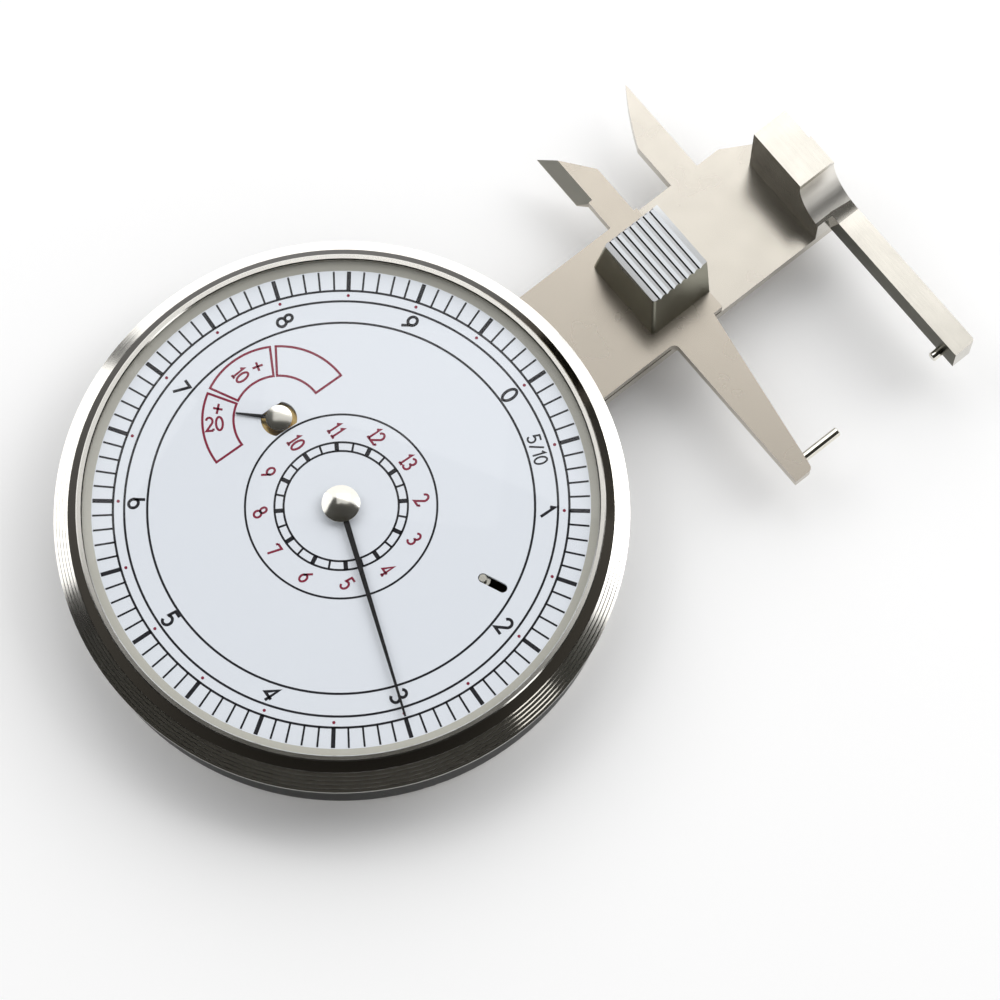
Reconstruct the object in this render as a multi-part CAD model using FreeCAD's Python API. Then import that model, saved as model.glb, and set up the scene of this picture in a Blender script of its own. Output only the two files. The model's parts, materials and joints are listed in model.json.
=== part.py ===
import FreeCAD, Part

import math
import os

# Dial lever gauge for gemstones, in millimetres.
# +X runs along the beam towards the jaws, +Y towards the two prongs, +Z out of the dial.
# The origin is the centre of the flat back of the case.

# Free gaps
SLIDING_GAP = 0.05
RUNNING_GAP = 0.03
SEAT_GAP = 0.05
END_FLOAT = 0.08

# Case, back to front
CASE_RADIUS = 29.3
CASE_EDGE_ROUND = 1.6
CASE_WALL = 5.3
CASE_LAND = 2.1
COVER_THICKNESS = 1.6
COVER_EDGE_CHAMFER = 0.3
COVER_RING_RADIUS = 15.0
COVER_RING_WIDTH = 0.8
COVER_RING_DEPTH = 0.2
CASE_SCREW_COUNT = 6
CASE_SCREW_INSET = 0.9

# Movement plate, beam, slide, rack and wheels, one above the other
PLATE_THICKNESS = 2.0
PLATE_STEP = 0.7
BEAM_THICKNESS = 1.6
SLIDE_THICKNESS = 1.3
RACK_THICKNESS = 1.1
RACK_TO_WHEEL = 0.3
WHEEL_THICKNESS = 0.6
WHEEL_TO_BRIDGE = 0.3
BRIDGE_THICKNESS = 0.6
BRIDGE_TO_DIAL = 0.25
DIAL_THICKNESS = 0.4

# Dial, dial ring, crystal and bezel
DIAL_INSET = 3.2
DIAL_RIM_COVER = 0.2
DIAL_TURN = -4.2
DIAL_CENTRE_HOLE_RADIUS = 1.3
DIAL_COUNTER_HOLE_RADIUS = 1.9
DIAL_SLOT_RADIUS = 17.77
DIAL_SLOT_ANGLE = -62.6
DIAL_SLOT_LENGTH = 3.3
DIAL_SLOT_WIDTH = 1.0
LOCATING_PIN_RADIUS = 0.4
LOCATING_COLLAR_RADIUS = 0.8
NECK_WALL = 1.45
SHOULDER_BELOW_DIAL = 2.0
DIAL_RING_WIDTH = 0.9
DIAL_RING_HEIGHT = 0.4
CRYSTAL_LEDGE = 0.4
CRYSTAL_THICKNESS = 0.4
DOME_GAP = 0.1
DOME_RISE = 2.4
LIP_THICKNESS = 0.25
LIP_WALL = 0.2
LIP_DROP = 0.12
BEVEL_WIDTH = 0.9
BEVEL_DROP = 1.1
BAND_WIDTH = 1.65
BAND_RIM_HEIGHT = 0.35
BAND_CHAMFER = 0.1
BAND_RIDGES = 5
BAND_GROOVE_DEPTH = 0.13
SNAP_WIRE_RADIUS = 0.25
SNAP_RING_OPENING = 14.0

# Beam and its prong
BEAM_WIDTH = 14.4
BEAM_TAIL_GAP = 4.5
BEAM_CORNER = 3.0
BEAM_END_CUT_LENGTH = 5.6
BEAM_END_CUT_DEPTH = 3.2
BEAM_SCREW_SPACING = 8.6
BEAM_SCREW_BACK_GAP = 8.4
BEAM_SCREW_FRONT_GAP = 5.5
FIXED_PRONG_REACH = 12.1
FIXED_PRONG_WIDTH = 3.6
FIXED_PRONG_SHOULDER = 5.6
FIXED_PRONG_BELLY_BACK = 1.95
FIXED_PRONG_BELLY_REACH = 8.9

# Slide plate and its travel
SLIDE_SIDE_GAP = 0.05
SLIDE_TAIL_GAP = 7.0
WINDOW_GAP = 0.8
GAP_AT_REST = 13.0
OPENING_TRAVEL = 7.5
CLOSING_TRAVEL = 12.98

# Arm and prong of the slide, with their places counted back from the measuring face
ARM_ROOT_BACK = 6.5
ARM_ROOT_FRONT = 1.2
ARM_TIP_BACK = 6.45
ARM_TIP_FRONT = 4.2
ARM_REACH = 19.8
ARM_CORNER = 0.6
ARM_ROOT_FILLET = 0.7
SLIDE_PRONG_REACH = 11.3
SLIDE_PRONG_EDGE = 4.5
SLIDE_PRONG_ROOT_BACK = 3.6
SLIDE_PRONG_ROOT_FRONT = 0.4
SLIDE_PRONG_NECK_REACH = 3.7
SLIDE_PRONG_NECK_STEP = 0.9
SLIDE_PRONG_SHOULDER = 6.1
PRONG_BEVEL = 1.4
PRONG_EDGE_THICKNESS = 0.2

# Jaw blocks
BLOCK_TO_BEZEL = 0.4
JAW_TOP_HEIGHT = 7.25
BLOCK_FOOT_LENGTH = 7.8
BLOCK_FOOT_WIDTH = 10.0
BLOCK_TOP_LENGTH = 7.2
BLOCK_TOP_WIDTH = 8.2
BLOCK_EDGE_ROUND = 0.35
BLOCK_SCREW_SPACING = 3.4
BLOCK_RIDGES = 8
BLOCK_GROOVE_WIDTH = 0.6
BLOCK_GROOVE_DEPTH = 0.42
FIXED_BLOCK_LENGTH = 4.3
FIXED_BLOCK_WIDTH = 7.6
FIXED_BLOCK_STRAIGHT = 0.5
FIXED_SCREW_SPACING = 6.2
NECK_RADIUS = 4.5
FIXED_ARM_HEIGHT = 3.5
FIXED_ARM_WIDTH = 2.7
FIXED_ARM_SETBACK = 2.0
FIXED_ARM_REACH = 20.1
FIXED_ARM_CORNER = 0.5
BEAM_END_MARGIN = 0.2
PIN_RADIUS = 0.52
PIN_Y = -25.3
PIN_PAST_FACE = 0.7
PIN_SOCKET_DEPTH = 1.3

# Rack and train
RACK_PITCH = 0.625
RACK_PINION_TEETH = 16
WHEEL_TO_WALL = 2.36
COUNTER_PINION_TEETH = 12
COUNTER_WHEEL_TEETH = 72
PRESSURE_ANGLE = 20.0
TOOTH_PLAY = 0.02
RACK_WIDTH = 3.0
RACK_RUN_OUT = 1.7
RACK_SCREW_INSET = 1.15
RACK_SCREW_END = 2.4
PINION_ADDENDUM = 0.95
RACK_ADDENDUM = 0.85
WHEEL_ADDENDUM = 0.7
DEDENDUM = 1.25
WHEEL_RIM = 1.4
WHEEL_HUB = 2.0
WHEEL_SPOKES = 5
WHEEL_SPOKE_WIDTH = 1.2

# Arbors, bushes and hairspring
CENTRE_ARBOR_RADIUS = 0.6
COUNTER_ARBOR_RADIUS = 0.5
PIVOT_RADIUS = 0.35
BUSH_WALL = 0.6
POST_RADIUS = 0.35
COLLET_RADIUS = 1.0
COLLET_LIP = 0.2
HAIRSPRING_RADIUS = 3.6
HAIRSPRING_THICKNESS = 0.1
HAIRSPRING_HEIGHT = 0.5
HAIRSPRING_TURNS = 5
STUD_RADIUS = 0.6
STUD_ANGLE = 150.0

# Bridge and pillars
PILLAR_RADIUS = 1.6
PILLAR_INSET_X = 10.0
PILLAR_INSET_Y = 11.5
FRONT_PILLAR_INSET = 11.0
BRIDGE_ARM_WIDTH = 4.6

# Slide guides and friction spring
GUIDE_START = 6.0
GUIDE_TO_WALL = 0.25
GUIDE_WIDTH = 2.9
GUIDE_LIP = 0.9
GUIDE_LIP_THICKNESS = 0.6
GUIDE_SCREW_INSET = 3.1
SPRING_LENGTH = 7.75
SPRING_THICKNESS = 0.12
SPRING_BOW = 0.5
SPRING_END_GAP = 0.4

# Hands
MAIN_HAND_ANGLE = -108.0
MAIN_HAND_TIP_INSET = 2.3
MAIN_HAND_WIDTH = 0.65
MAIN_HAND_TIP_WIDTH = 0.22
MAIN_HAND_EYE_RADIUS = 1.5
MAIN_HUB_RADIUS = 2.0
MAIN_HUB_DOME = 0.55
COUNTER_HAND_ANGLE = 138.0
COUNTER_HAND_REACH = 4.6
COUNTER_HAND_WIDTH = 0.75
COUNTER_HAND_TIP_WIDTH = 0.2
COUNTER_HAND_EYE_RADIUS = 0.95
COUNTER_HUB_RADIUS = 1.4
COUNTER_HUB_DOME = 0.15
HUB_EDGE_SHARE = 0.4
HAND_THICKNESS = 0.15
COUNTER_HAND_ABOVE_DIAL = 0.12
MAIN_HAND_ABOVE_DIAL = 0.5

# Screws
CASE_SCREW_RADIUS = 0.55
CASE_SCREW_HEAD_RADIUS = 1.1
CASE_SCREW_GRIP = 2.2
SMALL_SCREW_RADIUS = 0.5
SMALL_SCREW_HEAD_RADIUS = 1.0
SCREW_SLOT_WIDTH = 0.3
SCREW_SLOT_DEPTH = 0.25
BLIND_FLOOR = 0.3
THREAD_DEPTH = 3.0
PILLAR_THREAD_DEPTH = 2.0

# Heights that follow from the stack
PLATE_BOTTOM = COVER_THICKNESS
BEAM_BOTTOM = PLATE_BOTTOM + PLATE_THICKNESS
PLATE_FLOOR = PLATE_BOTTOM + BLIND_FLOOR
BEAM_TOP = BEAM_BOTTOM + BEAM_THICKNESS
SLIDE_BOTTOM = BEAM_TOP + SLIDING_GAP
SLIDE_TOP = SLIDE_BOTTOM + SLIDE_THICKNESS
SLIDE_MIDDLE = (SLIDE_BOTTOM + SLIDE_TOP) / 2
RACK_TOP = SLIDE_TOP + RACK_THICKNESS
WHEEL_BOTTOM = RACK_TOP + RACK_TO_WHEEL
WHEEL_TOP = WHEEL_BOTTOM + WHEEL_THICKNESS
BRIDGE_BOTTOM = WHEEL_TOP + WHEEL_TO_BRIDGE
BRIDGE_TOP = BRIDGE_BOTTOM + BRIDGE_THICKNESS
DIAL_BOTTOM = BRIDGE_TOP + BRIDGE_TO_DIAL
DIAL_TOP = DIAL_BOTTOM + DIAL_THICKNESS
SHOULDER_Z = DIAL_BOTTOM - SHOULDER_BELOW_DIAL
NECK_TOP = DIAL_TOP
CRYSTAL_BOTTOM = DIAL_TOP + DIAL_RING_HEIGHT
CRYSTAL_TOP = CRYSTAL_BOTTOM + CRYSTAL_THICKNESS
BEZEL_TOP = CRYSTAL_TOP + LIP_THICKNESS
JAW_TOP = SLIDE_TOP + JAW_TOP_HEIGHT

# Radii that follow from the case
CAVITY_RADIUS = CASE_RADIUS - CASE_WALL
COVER_RADIUS = CASE_RADIUS - CASE_LAND
MOVEMENT_RADIUS = COVER_RADIUS - PLATE_STEP
CASE_SCREW_CIRCLE = MOVEMENT_RADIUS - CASE_SCREW_INSET
DIAL_RADIUS = CASE_RADIUS - DIAL_INSET
DIAL_OPENING_RADIUS = DIAL_RADIUS - DIAL_RIM_COVER
NECK_INNER_RADIUS = DIAL_RADIUS + SEAT_GAP
NECK_OUTER_RADIUS = NECK_INNER_RADIUS + NECK_WALL
BEZEL_BORE_RADIUS = NECK_OUTER_RADIUS + SEAT_GAP
BEZEL_OPENING_RADIUS = DIAL_OPENING_RADIUS + DIAL_RING_WIDTH
CRYSTAL_RADIUS = BEZEL_OPENING_RADIUS + CRYSTAL_LEDGE
DOME_RADIUS = BEZEL_OPENING_RADIUS - DOME_GAP
LIP_OUTER_RADIUS = CRYSTAL_RADIUS + SEAT_GAP + LIP_WALL
BEVEL_OUTER_RADIUS = LIP_OUTER_RADIUS + BEVEL_WIDTH
BAND_RADIUS = BEVEL_OUTER_RADIUS + BAND_WIDTH
MAIN_HAND_REACH = DIAL_OPENING_RADIUS - MAIN_HAND_TIP_INSET

# Places that follow from the sizes
BEAM_HALF = BEAM_WIDTH / 2
BEAM_TAIL = CAVITY_RADIUS - BEAM_TAIL_GAP
BEAM_SCREW_BACK = BEAM_SCREW_BACK_GAP - CAVITY_RADIUS
BEAM_SCREW_FRONT = CAVITY_RADIUS - BEAM_SCREW_FRONT_GAP
PILLAR_X = CAVITY_RADIUS - PILLAR_INSET_X
PILLAR_Y = CAVITY_RADIUS - PILLAR_INSET_Y
FRONT_PILLAR_Y = FRONT_PILLAR_INSET - CAVITY_RADIUS
GUIDE_OUTER = BEAM_HALF + SLIDING_GAP + GUIDE_WIDTH
GUIDE_END = math.sqrt(CAVITY_RADIUS ** 2 - GUIDE_OUTER ** 2) - GUIDE_TO_WALL
SLIDE_HALF = BEAM_HALF - SLIDE_SIDE_GAP
SLIDE_TAIL = CAVITY_RADIUS - SLIDE_TAIL_GAP
JAW_FACE = BAND_RADIUS + OPENING_TRAVEL + BLOCK_TO_BEZEL + BLOCK_FOOT_LENGTH
FIXED_FACE = JAW_FACE + GAP_AT_REST
FIXED_BLOCK_BACK = FIXED_FACE + FIXED_BLOCK_LENGTH
BEAM_END = FIXED_BLOCK_BACK - BEAM_END_MARGIN
FIXED_ARM_FACE = FIXED_FACE + FIXED_ARM_SETBACK
FIXED_ARM_TOP = BEAM_TOP + FIXED_ARM_HEIGHT
FIXED_PRONG_EDGE = FIXED_FACE - SLIDE_PRONG_EDGE
RACK_MODULE = RACK_PITCH / math.pi
RACK_PINION_RADIUS = RACK_PINION_TEETH * RACK_MODULE / 2
COUNTER_REACH_IN_MODULES = COUNTER_PINION_TEETH / 2 + COUNTER_WHEEL_TEETH + WHEEL_ADDENDUM
COUNTER_MODULE = (CAVITY_RADIUS - WHEEL_TO_WALL) / COUNTER_REACH_IN_MODULES
COUNTER_DISTANCE = (COUNTER_PINION_TEETH + COUNTER_WHEEL_TEETH) * COUNTER_MODULE / 2
COUNTER_DIRECTION = 90.0 + DIAL_TURN
COUNTER_X = COUNTER_DISTANCE * math.cos(math.radians(COUNTER_DIRECTION))
COUNTER_Y = COUNTER_DISTANCE * math.sin(math.radians(COUNTER_DIRECTION))
COUNTER_AT = (COUNTER_X, COUNTER_Y)
BUSH_RADIUS = PIVOT_RADIUS + RUNNING_GAP + BUSH_WALL


# Shape helpers

def vector(x, y, z=0.0):
    return FreeCAD.Vector(x, y, z)


def around(radius, degrees, centre=(0.0, 0.0)):
    """Plan point at a radius and an angle from a centre."""
    angle = math.radians(degrees)
    return (centre[0] + radius * math.cos(angle), centre[1] + radius * math.sin(angle))


def disc(radius, bottom, top, at=(0.0, 0.0)):
    return Part.makeCylinder(radius, top - bottom, vector(at[0], at[1], bottom))


def tube(outer, inner, bottom, top, at=(0.0, 0.0)):
    return disc(outer, bottom, top, at).cut(disc(inner, bottom, top, at))


def box(low, high):
    sizes = [high[i] - low[i] for i in range(3)]
    return Part.makeBox(sizes[0], sizes[1], sizes[2], vector(low[0], low[1], low[2]))


def slab(outline, bottom, top):
    """Upright prism on a plan outline of (x, y) points."""
    corners = [vector(x, y, bottom) for x, y in outline]
    wire = Part.makePolygon(corners + [corners[0]])
    return Part.Face(wire).extrude(vector(0, 0, top - bottom))


def slab_from_edges(edges, bottom, top):
    """Upright prism on a closed chain of edges drawn at height zero."""
    face = Part.Face(Part.Wire(edges))
    face.translate(vector(0, 0, bottom))
    return face.extrude(vector(0, 0, top - bottom))


def turned(outline, at=(0.0, 0.0)):
    """Solid of revolution about an upright axis from (radius, height) points."""
    corners = [vector(radius, 0, z) for radius, z in outline]
    wire = Part.makePolygon(corners + [corners[0]])
    solid = Part.Face(wire).revolve(vector(0, 0, 0), vector(0, 0, 1), 360)
    solid.translate(vector(at[0], at[1], 0))
    return solid


def bar(start, end, width, bottom, top):
    """Round-ended flat bar between two plan points."""
    along = vector(end[0] - start[0], end[1] - start[1])
    side = vector(-along.y, along.x) * (width / 2 / along.Length)
    corners = [
        (start[0] + side.x, start[1] + side.y),
        (start[0] - side.x, start[1] - side.y),
        (end[0] - side.x, end[1] - side.y),
        (end[0] + side.x, end[1] + side.y),
    ]
    ends = [disc(width / 2, bottom, top, start), disc(width / 2, bottom, top, end)]
    return slab(corners, bottom, top).fuse(ends)


def rod_x(radius, start, end, y, z):
    """Round rod along X."""
    return Part.makeCylinder(radius, end - start, vector(start, y, z), vector(1, 0, 0))


def join(shapes):
    if len(shapes) == 1:
        return shapes[0]
    return shapes[0].fuse(shapes[1:]).removeSplitter()


def circles_at(shape, radius, z):
    """Round edges of a turned shape at a radius and a height."""
    found = []
    for edge in shape.Edges:
        limits = edge.BoundBox
        level = abs(limits.ZMax - z) < 1e-6 and abs(limits.ZMin - z) < 1e-6
        if level and abs(limits.XMax - radius) < 1e-3:
            found.append(edge)
    return found


def upright_edges(shape, places, reach=0.05):
    """Upright edges that pass through the given plan points."""
    found = []
    for edge in shape.Edges:
        if len(edge.Vertexes) != 2:
            continue
        low, high = [vertex.Point for vertex in edge.Vertexes]
        if math.hypot(low.x - high.x, low.y - high.y) > 1e-6:
            continue
        if any(math.hypot(low.x - x, low.y - y) < reach for x, y in places):
            found.append(edge)
    return found


def round_corners(shape, places, radius):
    return shape.makeFillet(radius, upright_edges(shape, places))


# Screws

def screw_shape(at, head_z, tip_z, shank_radius, head_radius):
    """Countersunk screw body on an upright axis; the flat of the head is at head_z."""
    way = 1.0 if tip_z > head_z else -1.0
    cone_end = head_z + way * (head_radius - shank_radius)
    head = [(0, head_z), (head_radius, head_z)]
    shank = [(shank_radius, cone_end), (shank_radius, tip_z), (0, tip_z)]
    return turned(head + shank, at)


def screw(at, head_z, tip_z, shank_radius, head_radius):
    way = 1.0 if tip_z > head_z else -1.0
    floor = head_z + way * SCREW_SLOT_DEPTH
    half = SCREW_SLOT_WIDTH / 2
    low = (at[0] - head_radius, at[1] - half, min(head_z, floor))
    high = (at[0] + head_radius, at[1] + half, max(head_z, floor))
    return screw_shape(at, head_z, tip_z, shank_radius, head_radius).cut(box(low, high))


def small_screw(at, head_z, tip_z):
    return screw(at, head_z, tip_z, SMALL_SCREW_RADIUS, SMALL_SCREW_HEAD_RADIUS)


def small_screw_hole(at, head_z, tip_z):
    return screw_shape(at, head_z, tip_z, SMALL_SCREW_RADIUS, SMALL_SCREW_HEAD_RADIUS)


# Gear teeth

def involute(base, radius):
    """Angle that an involute has swept at a radius, in radians."""
    if radius <= base:
        return 0.0
    roll = math.sqrt((radius / base) ** 2 - 1.0)
    return roll - math.atan(roll)


def gear(teeth, module, addendum, bottom, top, centre, facing):
    """Spur gear with one tooth centred on the direction called facing, in degrees."""
    pitch = teeth * module / 2
    base = pitch * math.cos(math.radians(PRESSURE_ANGLE))
    tip = pitch + addendum * module
    root = pitch - DEDENDUM * module
    start = max(base, root)
    middle = (start + tip) / 2
    half_at_pitch = math.pi / (2 * teeth) - TOOTH_PLAY / pitch

    def half_angle(radius):
        swept = involute(base, pitch) - involute(base, max(radius, start))
        return math.degrees(half_at_pitch + swept)

    step = 360.0 / teeth

    def spot(radius, degrees):
        x, y = around(radius, degrees, centre)
        return vector(x, y)

    edges = []
    first = spot(root, facing - half_angle(start))
    here = first
    for index in range(teeth):
        middle_angle = facing + index * step
        rise = spot(start, middle_angle - half_angle(start))
        up_tip = spot(tip, middle_angle - half_angle(tip))
        down_tip = spot(tip, middle_angle + half_angle(tip))
        fall = spot(start, middle_angle + half_angle(start))
        foot = spot(root, middle_angle + half_angle(start))
        next_foot = first
        if index < teeth - 1:
            next_foot = spot(root, middle_angle + step - half_angle(start))
        if start > root:
            edges.append(Part.LineSegment(here, rise).toShape())
        edges.append(Part.Arc(rise, spot(middle, middle_angle - half_angle(middle)), up_tip).toShape())
        edges.append(Part.Arc(up_tip, spot(tip, middle_angle), down_tip).toShape())
        edges.append(Part.Arc(down_tip, spot(middle, middle_angle + half_angle(middle)), fall).toShape())
        if start > root:
            edges.append(Part.LineSegment(fall, foot).toShape())
        edges.append(Part.Arc(foot, spot(root, middle_angle + step / 2), next_foot).toShape())
        here = next_foot
    return slab_from_edges(edges, bottom, top)


# Case pieces

def case_screw_places():
    return [around(CASE_SCREW_CIRCLE, 30.0 + 360.0 * i / CASE_SCREW_COUNT) for i in range(CASE_SCREW_COUNT)]


def case_screw_tip():
    return BEAM_BOTTOM + CASE_SCREW_GRIP


def case_body():
    turned_wall = turned([
        (COVER_RADIUS + SEAT_GAP, 0),
        (CASE_RADIUS, 0),
        (CASE_RADIUS, SHOULDER_Z),
        (NECK_OUTER_RADIUS, SHOULDER_Z),
        (NECK_OUTER_RADIUS, NECK_TOP),
        (NECK_INNER_RADIUS, NECK_TOP),
        (NECK_INNER_RADIUS, DIAL_BOTTOM),
        (CAVITY_RADIUS, DIAL_BOTTOM),
        (CAVITY_RADIUS, BEAM_BOTTOM),
        (MOVEMENT_RADIUS + SEAT_GAP, BEAM_BOTTOM),
        (MOVEMENT_RADIUS + SEAT_GAP, COVER_THICKNESS),
        (COVER_RADIUS + SEAT_GAP, COVER_THICKNESS),
    ])
    lower_rim = circles_at(turned_wall, CASE_RADIUS, 0)
    wall = turned_wall.makeFillet(min(CASE_EDGE_ROUND, 0.9 * (CASE_LAND - SEAT_GAP)), lower_rim)
    passage = box(
        (CAVITY_RADIUS / 2, -BEAM_HALF - SLIDING_GAP, BEAM_BOTTOM),
        (CASE_RADIUS + 1, BEAM_HALF + SLIDING_GAP, SLIDE_TOP + SEAT_GAP + SLIDING_GAP),
    )
    tail_pocket = box(
        (-SLIDE_TAIL - OPENING_TRAVEL - 2 * SLIDE_SIDE_GAP - SEAT_GAP, -BEAM_HALF - SLIDING_GAP, BEAM_TOP),
        (-CAVITY_RADIUS / 2, BEAM_HALF + SLIDING_GAP, SLIDE_TOP + SEAT_GAP + SLIDING_GAP),
    )
    threads = [disc(CASE_SCREW_RADIUS, BEAM_BOTTOM, case_screw_tip(), at) for at in case_screw_places()]
    return wall.cut([passage, tail_pocket, snap_wire()] + threads)


def back_cover():
    cover = turned([
        (0, 0),
        (COVER_RING_RADIUS, 0),
        (COVER_RING_RADIUS, COVER_RING_DEPTH),
        (COVER_RING_RADIUS + COVER_RING_WIDTH, COVER_RING_DEPTH),
        (COVER_RING_RADIUS + COVER_RING_WIDTH, 0),
        (COVER_RADIUS - COVER_EDGE_CHAMFER, 0),
        (COVER_RADIUS, COVER_EDGE_CHAMFER),
        (COVER_RADIUS, COVER_THICKNESS),
        (0, COVER_THICKNESS),
    ])
    holes = [case_screw_hole(at) for at in case_screw_places()]
    return cover.cut(holes)


def case_screw_hole(at):
    shank, head = CASE_SCREW_RADIUS + SEAT_GAP, CASE_SCREW_HEAD_RADIUS + SEAT_GAP
    return screw_shape(at, 0, COVER_THICKNESS, shank, head)


def back_cover_screws():
    tip = case_screw_tip()
    return [screw(at, 0, tip, CASE_SCREW_RADIUS, CASE_SCREW_HEAD_RADIUS) for at in case_screw_places()]


def bezel():
    band_top = BEZEL_TOP - LIP_DROP - BEVEL_DROP
    band_low = SHOULDER_Z + BAND_RIM_HEIGHT
    profile = [
        (BEZEL_BORE_RADIUS, SHOULDER_Z),
        (BAND_RADIUS - BAND_CHAMFER, SHOULDER_Z),
        (BAND_RADIUS, SHOULDER_Z + BAND_CHAMFER),
        (BAND_RADIUS, band_low),
    ]
    run = BEVEL_OUTER_RADIUS - BAND_RADIUS
    rise = band_top - band_low
    slope = math.hypot(run, rise)
    inward = (-rise / slope * BAND_GROOVE_DEPTH, run / slope * BAND_GROOVE_DEPTH)
    for ridge in range(BAND_RIDGES):
        valley = (ridge + 0.5) / BAND_RIDGES
        crest = (ridge + 1.0) / BAND_RIDGES
        profile.append((BAND_RADIUS + run * valley + inward[0], band_low + rise * valley + inward[1]))
        profile.append((BAND_RADIUS + run * crest, band_low + rise * crest))
    lip_edge = BEZEL_TOP - LIP_DROP
    profile += [
        (LIP_OUTER_RADIUS, lip_edge),
        (LIP_OUTER_RADIUS - LIP_DROP, BEZEL_TOP),
        (BEZEL_OPENING_RADIUS + LIP_DROP, BEZEL_TOP),
        (BEZEL_OPENING_RADIUS, lip_edge),
        (BEZEL_OPENING_RADIUS, CRYSTAL_TOP),
        (CRYSTAL_RADIUS + SEAT_GAP, CRYSTAL_TOP),
        (CRYSTAL_RADIUS + SEAT_GAP, NECK_TOP + SEAT_GAP),
        (BEZEL_BORE_RADIUS, NECK_TOP + SEAT_GAP),
    ]
    return turned(profile).cut(snap_wire())


def snap_wire_level():
    return (SHOULDER_Z + NECK_TOP) / 2


def snap_wire():
    """Full ring of wire that fills the two facing grooves."""
    at = (NECK_OUTER_RADIUS + BEZEL_BORE_RADIUS) / 2
    return Part.makeTorus(at, SNAP_WIRE_RADIUS, vector(0, 0, snap_wire_level()))


def bezel_snap_ring():
    """The wire itself, split so that it can spring into its groove."""
    at = (NECK_OUTER_RADIUS + BEZEL_BORE_RADIUS) / 2
    start = around(at, SNAP_RING_OPENING / 2)
    ring_start = Part.Circle(vector(start[0], start[1], snap_wire_level()),
                             vector(-start[1], start[0], 0), SNAP_WIRE_RADIUS - RUNNING_GAP)
    section = Part.Face(Part.Wire(ring_start.toShape()))
    return section.revolve(vector(0, 0, 0), vector(0, 0, 1), 360 - SNAP_RING_OPENING)


def crystal():
    """Flanged disc that rises to a shallow dome of even thickness."""
    ball_radius = (DOME_RADIUS ** 2 + DOME_RISE ** 2) / (2 * DOME_RISE)
    top = CRYSTAL_TOP + DOME_RISE
    centre = vector(0, 0, top - ball_radius)
    dome = disc(CRYSTAL_RADIUS, CRYSTAL_BOTTOM, top).common(Part.makeSphere(ball_radius, centre))
    flange = disc(CRYSTAL_RADIUS, CRYSTAL_BOTTOM, CRYSTAL_TOP)
    inside = Part.makeSphere(ball_radius - CRYSTAL_THICKNESS, centre)
    return flange.fuse(dome).removeSplitter().cut(inside)


def dial_ring():
    """Sloping ring between the dial and the crystal."""
    return turned([
        (DIAL_OPENING_RADIUS, DIAL_TOP),
        (DIAL_RADIUS - SEAT_GAP, DIAL_TOP),
        (DIAL_RADIUS - SEAT_GAP, NECK_TOP + SEAT_GAP),
        (CRYSTAL_RADIUS, NECK_TOP + SEAT_GAP),
        (CRYSTAL_RADIUS, CRYSTAL_BOTTOM),
        (BEZEL_OPENING_RADIUS, CRYSTAL_BOTTOM),
    ])


def dial_angle(degrees):
    """Angle on the dial turned into the angle from +X."""
    return degrees + DIAL_TURN


def dial_slot_ends():
    half = (DIAL_SLOT_LENGTH - DIAL_SLOT_WIDTH) / 2
    angle = dial_angle(DIAL_SLOT_ANGLE)
    return [around(DIAL_SLOT_RADIUS - half, angle), around(DIAL_SLOT_RADIUS + half, angle)]


def dial_plate():
    inner, outer = dial_slot_ends()
    openings = [
        disc(DIAL_CENTRE_HOLE_RADIUS, DIAL_BOTTOM, DIAL_TOP),
        disc(DIAL_COUNTER_HOLE_RADIUS, DIAL_BOTTOM, DIAL_TOP, COUNTER_AT),
        bar(inner, outer, DIAL_SLOT_WIDTH, DIAL_BOTTOM, DIAL_TOP),
    ]
    return disc(DIAL_RADIUS, DIAL_BOTTOM, DIAL_TOP).cut(openings)


def dial_locating_pin():
    inner = dial_slot_ends()[0]
    foot = disc(LOCATING_PIN_RADIUS, PLATE_FLOOR, DIAL_TOP, inner)
    collar = disc(LOCATING_COLLAR_RADIUS, BEAM_BOTTOM, DIAL_BOTTOM - BRIDGE_TO_DIAL, inner)
    return foot.fuse(collar).removeSplitter()


# Movement frame

def beam_screw_places():
    half = BEAM_SCREW_SPACING / 2
    return [(x, y) for x in (BEAM_SCREW_BACK, BEAM_SCREW_FRONT) for y in (-half, half)]


def guide_screw_places():
    middle = GUIDE_OUTER - GUIDE_WIDTH / 2
    ends = (GUIDE_START + GUIDE_SCREW_INSET, GUIDE_END - GUIDE_SCREW_INSET)
    return [(x, side * middle) for x in ends for side in (-1, 1)]


def pillar_places():
    return [(-PILLAR_X, PILLAR_Y), (PILLAR_X, PILLAR_Y), (0.0, FRONT_PILLAR_Y)]


def stud_place():
    return around(HAIRSPRING_RADIUS + STUD_RADIUS, STUD_ANGLE, COUNTER_AT)


def movement_plate():
    plate = disc(MOVEMENT_RADIUS, PLATE_BOTTOM, BEAM_BOTTOM)
    cuts = [disc(CASE_SCREW_RADIUS + SEAT_GAP, PLATE_BOTTOM, BEAM_BOTTOM, at) for at in case_screw_places()]
    cuts += [small_screw_hole(at, PLATE_BOTTOM, BEAM_BOTTOM) for at in beam_screw_places()]
    cuts += [disc(SMALL_SCREW_RADIUS, PLATE_FLOOR, BEAM_BOTTOM, at) for at in guide_screw_places()]
    cuts += [disc(POST_RADIUS, PLATE_FLOOR, BEAM_BOTTOM, at) for at in pillar_places() + [stud_place()]]
    cuts.append(disc(LOCATING_PIN_RADIUS, PLATE_FLOOR, BEAM_BOTTOM, dial_slot_ends()[0]))
    cuts.append(disc(BUSH_RADIUS, PLATE_FLOOR, BEAM_BOTTOM, COUNTER_AT))
    return plate.cut(cuts)


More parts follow.
